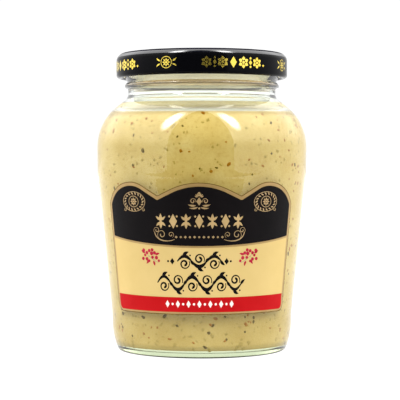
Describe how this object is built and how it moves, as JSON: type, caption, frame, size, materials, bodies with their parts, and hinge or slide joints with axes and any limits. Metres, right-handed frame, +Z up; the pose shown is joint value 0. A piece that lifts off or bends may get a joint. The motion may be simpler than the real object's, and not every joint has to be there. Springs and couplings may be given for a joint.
{
  "type": "mustard jar",
  "caption": "Shut clear glass jar of pale grainy mustard, with a rounded shoulder, a black twist-off metal lid and a wrapped paper front label.",
  "frame": {"origin": "centre of the jar's contact ring, on the plane that it stands on", "axes": "+Z up along the jar's axis, -Y towards the middle of the front label"},
  "size_m": [0.0808, 0.0808, 0.1139],
  "materials": {
    "glass": "clear flint glass with a faint green tint, smooth and glossy",
    "mustard": "thick pale yellow cream with brown, black and red-brown seed specks",
    "lid": "glossy black lacquer with gold print, pale lacquer inside",
    "label": "coated paper with bronze-gold edge and black, cream and red printed fields"
  },
  "bodies": {
    "root": {"glass_jar": "glass", "mustard": "mustard", "lid": "lid", "label": "label"}
  },
  "joints": []
}
